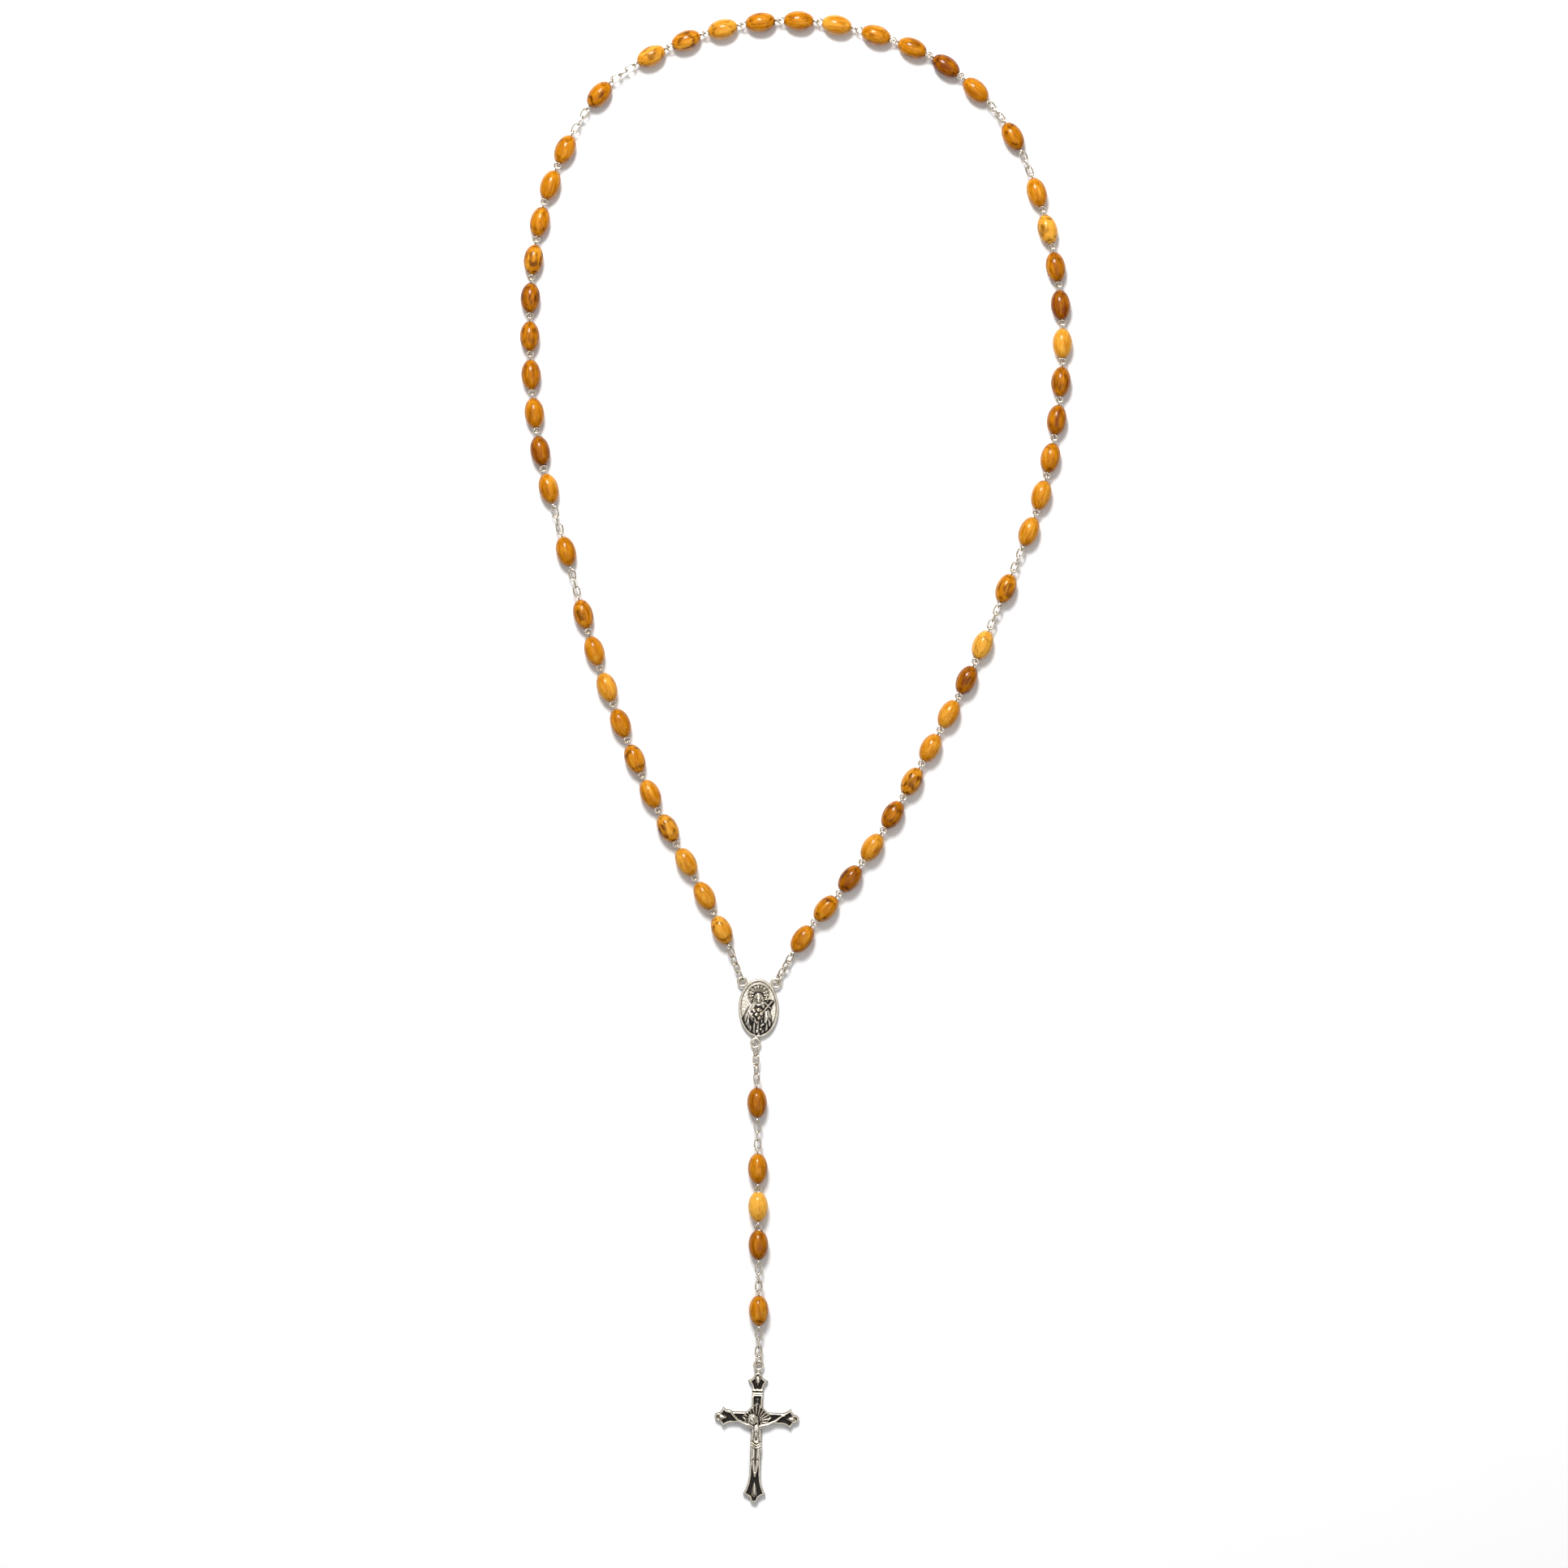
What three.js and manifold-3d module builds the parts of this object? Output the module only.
// A five-decade rosary lying flat: oval wooden beads on eye pins, runs of wire links,
// a cast centre medal and a cast crucifix.
//
// Millimetres. The beads lie on z = 0 and +Y runs from the crucifix to the top of the loop.
// Each moving body is a group inside the one it hangs from. A group's origin is the point it
// swings about, its own +Y points away from the medal, and its userData.hinge names the axis.
import * as THREE from "three";
import { mergeVertices } from "three/addons/utils/BufferGeometryUtils.js";
import Module from "manifold-3d";

const wasm = await Module();
wasm.setup();

// Beads and their eye pins
const bead = { width: 6.1, length: 9, mouth: 2.5, sides: 8 };
const bore = { radius: 0.62, flare: 1.1, flareDepth: 0.62 }; // in the beads that spin on their pins
const wire = 0.27; // radius of every pin, eye and link
const eye = 0.95; // mean radius of every eye and of a link's round ends
const eyeReach = 0.9; // from a bead's end face to the centre of its eye
const bridge = 0.22; // radius of the web that fuses two links of one body

// Links: a round ring drawn out by `straight`
const loopLink = { ring: eye, straight: 1.35 };
const tailLink = { ring: eye, straight: 1.6 };
const jumpRing = { ring: 1.6, straight: 0 };

// Distance between the centres of two rings that hold each other
const hold = { beads: 1.02, left: 1.3, right: 1, ear: 1.35, short: 0.85, tight: 1.3, tail: 1.16, jump: 1.5 };

// Castings
const lug = { ring: 1.3, wire: 0.4, stub: 0.7 }; // the cast eyes of the medal and the cross
const medal = { width: 12.4, height: 18, thickness: 1.9, rim: 0.9, field: 0.35, centre: [-11.9, -76.3] };
const cross = { span: 26, above: 14, below: 26.1, arm: 3.3, bud: 6.4, thickness: 2, eyeToCrossing: 16.2 };
const lie = { lug: 1.6, bead: bead.width / 2 }; // height of the wire above the table

// Where the loop and the tail lie: points on their centre lines, starting at the medal's eyes
const leftRoute = [
  [-16.9, -68.2], [-23, -52.3], [-34.3, -31], [-45.3, -10.3], [-54.6, 12], [-62.8, 34.8], [-71.5, 65.8],
  [-79.4, 96.5], [-82.2, 126], [-80.9, 156], [-74.9, 180], [-59, 207.1], [-33.2, 221.8], [-10, 227.2],
  [8, 227], [20, 224.5],
];
const rightRoute = [
  [-6.6, -68.6], [1.8, -54.3], [16.8, -36], [29.9, -16], [41.5, 4.8], [52.8, 26], [65, 54.8],
  [75.9, 84], [81.3, 118], [80.9, 142], [76.3, 166], [65.6, 193.5], [46.3, 213.4], [25.3, 222.8],
  [4, 227.2], [-10, 227.2],
];
const tailRoute = [[-12.8, -87], [-12.3, -106.3], [-12, -138.5], [-11.8, -170], [-11.9, -190]];
const crossTilt = THREE.MathUtils.degToRad(2);
const swing = 60; // degrees each way at every interlock

const wood = { color: "#b87a35", roughness: 0.3, metalness: 0 };
const silver = { color: "#c9c3b6", roughness: 0.3, metalness: 1 };
const antiqueSilver = { color: "#8d877a", roughness: 0.42, metalness: 1 };

const X = new THREE.Vector3(1, 0, 0);
const Z = new THREE.Vector3(0, 0, 1);

// ---------------------------------------------------------------- solids

function toSolid(geometry, matrix = new THREE.Matrix4()) {
  const bare = new THREE.BufferGeometry().setAttribute("position", geometry.getAttribute("position"));
  if (geometry.index) bare.setIndex(geometry.index);
  const merged = mergeVertices(bare.applyMatrix4(matrix), 1e-4);
  const vertProperties = merged.attributes.position.array;
  return new wasm.Manifold(
    new wasm.Mesh({ numProp: 3, vertProperties, triVerts: new Uint32Array(merged.index.array) }),
  );
}

function toGeometry(solid) {
  const { vertProperties, triVerts } = solid.getMesh();
  const geometry = new THREE.BufferGeometry();
  geometry.setAttribute("position", new THREE.BufferAttribute(vertProperties, 3));
  geometry.setIndex(new THREE.BufferAttribute(triVerts, 1));
  geometry.computeVertexNormals();
  return geometry;
}

function join(solids) {
  return solids.reduce((whole, solid) => whole.add(solid));
}

function move(x, y, z) {
  return new THREE.Matrix4().makeTranslation(x, y, z);
}

// A ring of wire in the XY plane with its centre at the origin and a corner at its near and far
// ends. Its far half is drawn out along +Y by `straight`, which makes an oval link.
function ringGeometry({ ring, straight = 0, radius = wire, sides = 6 }) {
  const torus = new THREE.TorusGeometry(ring, radius, 4, sides).rotateZ(Math.PI / 2);
  const position = torus.getAttribute("position");
  for (let i = 0; i < position.count; i++) {
    if (position.getY(i) > 0) position.setY(i, position.getY(i) + straight);
  }
  return torus;
}

// Turns a flat ring on edge about the line it lies along.
function onEdge(geometry, upright) {
  return upright ? geometry.rotateY(Math.PI / 2) : geometry;
}

function beadProfile() {
  const { width, length, mouth } = bead;
  return [
    [mouth / 2, -length / 2],
    [width * 0.47, -length * 0.21],
    [width * 0.47, length * 0.21],
    [mouth / 2, length / 2],
  ].map(([x, y]) => new THREE.Vector2(x, y));
}

// A bead along Y with its centre at the origin, filled by its pin.
function solidBead() {
  const half = bead.length / 2;
  const profile = [new THREE.Vector2(0, -half), ...beadProfile(), new THREE.Vector2(0, half)];
  return new THREE.LatheGeometry(profile, bead.sides);
}

// The same bead with a bore whose mouths are flared to clear the eyes as it spins.
function boredBead() {
  const half = bead.length / 2;
  const { radius, flare, flareDepth } = bore;
  const inside = [
    [flare, half],
    [radius, half - flareDepth],
    [radius, flareDepth - half],
    [flare, -half],
  ].map(([x, y]) => new THREE.Vector2(x, y));
  const profile = [...beadProfile(), ...inside];
  profile.push(profile[0].clone());
  return new THREE.LatheGeometry(profile, bead.sides);
}

// ---------------------------------------------------------------- elements of a chain

// An element runs from the centre of its first ring to the centre of its last one, along its own +Y.
const beadElement = { kind: "bead", length: bead.length + 2 * eyeReach };
const pinElement = { kind: "pin", length: beadElement.length };

function linkElement(link) {
  return { kind: "link", link, length: link.straight };
}

function elementParts(element) {
  const { kind, length, startUpright, endUpright, endless } = element;
  if (kind === "link") return [onEdge(ringGeometry(element.link), startUpright)];
  const parts = [onEdge(ringGeometry({ ring: eye }), startUpright)];
  if (!endless) parts.push(onEdge(ringGeometry({ ring: eye }), endUpright).translate(0, length, 0));
  if (kind === "bead") parts.push(solidBead().translate(0, length / 2, 0));
  if (kind === "pin") {
    const shaft = new THREE.CylinderGeometry(wire, wire, length - 2 * eye, 6);
    parts.push(shaft.translate(0, length / 2, 0));
  }
  return parts;
}

function ringOf(element) {
  return element.link ? element.link.ring : eye;
}

// The web that fuses an element's first ring to the ring before it, in the element's own frame.
function webBetween(previous, element, gap) {
  const near = -ringOf(element);
  const far = ringOf(previous) - gap;
  return new THREE.CylinderGeometry(bridge, bridge, far - near, 3).translate(0, (near + far) / 2, 0);
}

// A frame at `from` whose +Y points to `to` and whose X is level.
function frameAlong(from, to) {
  const y = to.clone().sub(from).normalize();
  const x = y.clone().cross(Z).normalize();
  const z = x.clone().cross(y);
  return new THREE.Matrix4().makeBasis(x, y, z).setPosition(from);
}

// ---------------------------------------------------------------- laying a chain along its route

// A point at distance s along a flat route. The height eases from the castings to the beads.
function routePoint(route, s) {
  const point = route.curve.getPointAt(Math.min(s / route.length, 1));
  const rise = THREE.MathUtils.clamp(s / route.rise, 0, 1);
  const fall = route.fall ? THREE.MathUtils.clamp((route.end - s) / route.fall, 0, 1) : 1;
  return new THREE.Vector3(point.x, point.y, THREE.MathUtils.lerp(lie.lug, lie.bead, Math.min(rise, fall)));
}

function makeRoute(points, rise) {
  const corners = points.map(([x, y]) => new THREE.Vector3(x, y, 0));
  const curve = new THREE.CatmullRomCurve3(corners, false, "centripetal");
  curve.arcLengthDivisions = 2000;
  return { curve, length: curve.getLength(), rise };
}

function addMesh(group, name, solid, finish) {
  const mesh = new THREE.Mesh(toGeometry(solid), new THREE.MeshStandardMaterial(finish));
  mesh.name = name;
  group.add(mesh);
  return mesh;
}

// Lays bodies one after another from a parent's ring and hangs each from the one before.
// A body is { name, finish, elements, gap, gaps, axis }; `gap` is the hold before its first element
// and `gaps` those inside it.
function layChain(parent, route, bodies) {
  const turns = { pitch: route.sign ?? 1, yaw: route.sign ?? 1 }; // the sign of the next hinge of each kind
  let s = 0;
  let lastUpright = false; // the castings' eyes lie flat
  let lastCentre = routePoint(route, 0);
  for (const body of bodies) {
    const group = new THREE.Group();
    const placed = [];
    let hinge = null;
    let previous = null;
    for (const [index, element] of body.elements.entries()) {
      const gap = index ? body.gaps : body.gap;
      s += gap;
      const from = routePoint(route, s);
      const to = routePoint(route, s + Math.max(element.length, 0.5));
      element.startUpright = !lastUpright;
      element.endUpright = element.kind === "link" ? element.startUpright : !element.flatEnd;
      const frame = frameAlong(from, to);
      if (!previous) {
        const pitch = body.axis === "pitch";
        const pivot = element.startUpright === pitch ? from : lastCentre;
        hinge = frame.clone().setPosition(pivot);
      } else {
        placed.push([webBetween(previous, element, gap), frame]);
      }
      for (const part of elementParts(element)) placed.push([part, frame]);
      previous = element;
      s += element.length;
      lastUpright = element.endUpright;
      lastCentre = routePoint(route, s);
      body.lastFrame = frame;
    }
    hinge.decompose(group.position, group.quaternion, group.scale);
    const inverse = hinge.clone().invert();
    const solids = placed.map(([part, frame]) => toSolid(part, inverse.clone().multiply(frame)));
    addMesh(group, body.name, join(solids), body.finish);
    const axis = body.axis === "pitch" ? X.clone() : Z.clone();
    group.userData.hinge = { axis: axis.multiplyScalar(turns[body.axis]).toArray(), range: [-swing, swing] };
    turns[body.axis] *= -1;
    parent.attach(group);
    parent = group;
    if (body.loose) parent.add(spinningBead(body, inverse));
  }
  return { last: parent, s };
}

// A bead that spins on the pin whose group it joins.
function spinningBead(body, inverse) {
  const group = new THREE.Group();
  const middle = inverse.clone().multiply(body.lastFrame).multiply(move(0, pinElement.length / 2, 0));
  middle.decompose(group.position, group.quaternion, group.scale);
  addMesh(group, body.loose, toSolid(boredBead()), wood);
  group.userData.hinge = { axis: [0, 1, 0], continuous: true };
  return group;
}

// ---------------------------------------------------------------- the runs of a rosary

function chainRun(name, link, count, gap, gaps, axis = "pitch", first = []) {
  const elements = [...first, ...Array.from({ length: count }, () => linkElement(link))];
  return { name, finish: silver, elements, gap, gaps, axis };
}

// Five bodies of two beads each. `from` and `step` number the beads from the medal outwards.
function decade(number, first, last, gap) {
  const bodies = [];
  const step = Math.sign(last - first);
  for (let n = first; step > 0 ? n < last : n > last; n += 2 * step) {
    const [low, high] = [Math.min(n, n + step), Math.max(n, n + step)];
    bodies.push({
      name: `decade_${number}_beads_${low}_${high}`,
      finish: wood,
      elements: [{ ...beadElement }, { ...beadElement }],
      gap: bodies.length ? hold.beads : gap,
      gaps: hold.beads,
      axis: "pitch",
    });
  }
  return bodies;
}

function ourFather(number, gap) {
  const elements = [{ ...beadElement }];
  return { name: `our_father_bead_${number}`, finish: wood, elements, gap, gaps: 0, axis: "pitch" };
}

function pinAndBead(name, gap, axis) {
  const elements = [{ ...pinElement }];
  return { name: `${name}_pin`, loose: `${name}_bead`, finish: silver, elements, gap, axis };
}

function loopChain(name, gap) {
  return chainRun(name, loopLink, 3, gap, gap);
}

// The last interlocks before the open pivot swing in the plane of the loop.
function yawAtTip(bodies, count) {
  bodies.slice(-count).forEach((body) => (body.axis = "yaw"));
}

// ---------------------------------------------------------------- castings

function ovalShape(width, height) {
  const shape = new THREE.Shape();
  shape.absellipse(0, 0, width / 2, height / 2, 0, 2 * Math.PI);
  return shape;
}

function slab(shape, thickness, curveSegments = 12) {
  return new THREE.ExtrudeGeometry(shape, { depth: thickness, bevelEnabled: false, curveSegments });
}

// A cast eye at (x, y) and the stub that roots it in the casting, which lies towards (rootX, rootY).
function lugAt(x, y, rootX, rootY) {
  const loop = ringGeometry({ ring: lug.ring, radius: lug.wire, sides: 8 }).translate(x, y, lie.lug);
  const toRoot = new THREE.Vector2(rootX - x, rootY - y).setLength(lug.ring + lug.wire);
  const stub = ellipsoid(lug.stub, lug.stub, lug.wire, x + toRoot.x, y + toRoot.y, lie.lug - 0.1);
  return toSolid(loop).add(stub);
}

function ellipsoid(rx, ry, rz, x, y, z) {
  return toSolid(new THREE.SphereGeometry(1, 7, 5).scale(rx, ry, rz).translate(x, y, z));
}

// The medal stands on its flat back, centred on the origin.
function medalSolid(lugs) {
  const { width, height, thickness, rim, field } = medal;
  const plate = toSolid(slab(ovalShape(width, height), thickness));
  const inside = slab(ovalShape(width - 2 * rim, height - 2 * rim), thickness);
  const recess = toSolid(inside.translate(0, 0, thickness - field));
  const robe = ellipsoid(3.9, 4.6, 1.1, 0, -3.4, thickness - field);
  const veil = ellipsoid(1.5, 2.2, 1, 0, 2.6, thickness - field);
  return join([plate.subtract(recess), robe, veil, ...lugs]);
}

// One arm of the cross along +Y from the crossing, ending in a three-lobed bud.
function armShape(reach, budLength) {
  const half = cross.arm / 2;
  const bud = cross.bud / 2;
  const neck = reach - budLength;
  const shape = new THREE.Shape();
  shape.moveTo(-half, 0);
  shape.lineTo(half, 0);
  shape.lineTo(half, neck);
  shape.quadraticCurveTo(half, neck + budLength * 0.35, bud, neck + budLength * 0.5);
  shape.quadraticCurveTo(bud * 0.55, neck + budLength * 0.62, half * 0.5, reach);
  shape.lineTo(-half * 0.5, reach);
  shape.quadraticCurveTo(-bud * 0.55, neck + budLength * 0.62, -bud, neck + budLength * 0.5);
  shape.quadraticCurveTo(-half, neck + budLength * 0.35, -half, neck);
  return shape;
}

// The cross on its flat back with its eye at the origin and its foot along +Y.
function crossSolid() {
  const { thickness, eyeToCrossing, above, below, span } = cross;
  const crossing = move(0, eyeToCrossing, 0);
  const arm = (reach, bud, turn) => {
    const geometry = slab(armShape(reach, bud), thickness, 3).rotateZ(turn);
    return toSolid(geometry, crossing);
  };
  const top = thickness;
  const arms = [
    arm(below, 8, 0),
    arm(above, 5.4, Math.PI),
    arm(span / 2, 5.4, Math.PI / 2),
    arm(span / 2, 5.4, -Math.PI / 2),
  ];
  const rays = toSolid(slab(ovalShape(8.6, 7.4), 0.4, 1), move(0, eyeToCrossing - 0.6, top));
  const figure = [
    ellipsoid(1.15, 1.35, 1.2, 0.9, eyeToCrossing + 0.2, top + 0.9), // head
    ellipsoid(1.7, 3.6, 1.1, 0, eyeToCrossing + 4.8, top + 0.3), // trunk
    ellipsoid(1.6, 1.6, 1.2, 0, eyeToCrossing + 8.6, top + 0.3), // cloth about the hips
    ellipsoid(1.3, 5.4, 1, 0, eyeToCrossing + 13.4, top + 0.2), // legs
  ];
  for (const side of [-1, 1]) {
    const limb = new THREE.CapsuleGeometry(0.55, 7, 1, 6).rotateZ(side * 1.18);
    figure.push(toSolid(limb.translate(side * 4.6, eyeToCrossing + 0.8, top + 0.3)));
  }
  return join([...arms, rays, ...figure, lugAt(0, 0, 0, eyeToCrossing)]);
}

// ---------------------------------------------------------------- the assembly

const rosary = new THREE.Group();
const [medalX, medalY] = medal.centre;
const medalBody = new THREE.Group();
medalBody.position.set(medalX, medalY, 0);
const lugs = [leftRoute[0], rightRoute[0], tailRoute[0]].map(([x, y]) => lugAt(x - medalX, y - medalY, 0, 0));
addMesh(medalBody, "centre_medal", medalSolid(lugs), antiqueSilver);
rosary.add(medalBody);

// The loop is open between the sixth and the seventh bead of its third decade.
const leftBodies = [
  chainRun("chain_medal_to_decade_1", loopLink, 4, hold.ear, 1.22),
  ...decade(1, 1, 10, hold.left),
  loopChain("chain_decade_1_to_our_father_1", hold.left),
  ourFather(1, hold.left),
  loopChain("chain_our_father_1_to_decade_2", hold.left),
  ...decade(2, 1, 10, hold.left),
  loopChain("chain_decade_2_to_our_father_2", hold.left),
  ourFather(2, hold.left),
  loopChain("chain_our_father_2_to_decade_3", hold.left),
  ...decade(3, 1, 6, hold.left),
];
const rightBodies = [
  chainRun("chain_medal_to_decade_5", loopLink, 3, hold.jump, 1.33, "pitch", [linkElement(jumpRing)]),
  ...decade(5, 10, 1, hold.right),
  loopChain("chain_decade_5_to_our_father_4", hold.right),
  ourFather(4, hold.right),
  loopChain("chain_our_father_4_to_decade_4", hold.right),
  ...decade(4, 10, 1, hold.right),
  loopChain("chain_decade_4_to_our_father_3", hold.right),
  ourFather(3, hold.right),
  loopChain("chain_our_father_3_to_decade_3", hold.short),
  ...decade(3, 10, 7, hold.right),
];
yawAtTip(leftBodies, 2);
yawAtTip(rightBodies, 2);
rightBodies.at(-1).elements.at(-1).endless = true; // the open pivot: this eye is left off for clearance

const riseLength = 12;
layChain(medalBody, { ...makeRoute(leftRoute, riseLength), sign: 1 }, leftBodies);
layChain(medalBody, { ...makeRoute(rightRoute, riseLength), sign: -1 }, rightBodies);

// The tail: its pins and most of its links are bodies of their own.
function tailLinks(first, gap) {
  return [0, 1, 2].map((n) =>
    chainRun(`tail_link_${first + n}`, tailLink, 1, gap, 0, n % 2 ? "pitch" : "yaw"),
  );
}
const tailBodies = [
  chainRun("chain_medal_to_tail", tailLink, 4, hold.ear, hold.tight, "pitch"),
  pinAndBead("tail_our_father_upper", hold.tight, "yaw"),
  ...tailLinks(1, hold.tail),
  pinAndBead("hail_mary_1", hold.tail, "pitch"),
  pinAndBead("hail_mary_2", 0.93, "yaw"),
  pinAndBead("hail_mary_3", 0.93, "pitch"),
  ...tailLinks(4, hold.tail),
  pinAndBead("tail_our_father_lower", hold.tail, "pitch"),
  chainRun("chain_to_cross", tailLink, 3, hold.tight, hold.tight, "yaw"),
  chainRun("cross_jump_ring", jumpRing, 1, hold.ear, 0, "pitch"),
];
const tail = makeRoute(tailRoute, riseLength);
tail.end = tail.length;
tail.fall = riseLength;
const tailEnd = layChain(medalBody, tail, tailBodies);

// The cross hangs from the jump ring and lies on its back.
const crossBody = new THREE.Group();
const crossEye = routePoint(tail, tailEnd.s + hold.jump);
crossBody.position.set(crossEye.x, crossEye.y, 0);
crossBody.rotation.z = Math.PI - crossTilt;
addMesh(crossBody, "crucifix", crossSolid(), antiqueSilver);
crossBody.userData.hinge = { axis: [0, 0, 1], range: [-swing, swing] };
rosary.add(crossBody);
rosary.updateMatrixWorld(true);
tailEnd.last.attach(crossBody);

// The origin is under the middle of the object's box.
rosary.updateMatrixWorld(true);
const box = new THREE.Box3().setFromObject(rosary, true);
const middle = box.getCenter(new THREE.Vector3());
medalBody.position.sub(new THREE.Vector3(middle.x, middle.y, box.min.z));

export default rosary;
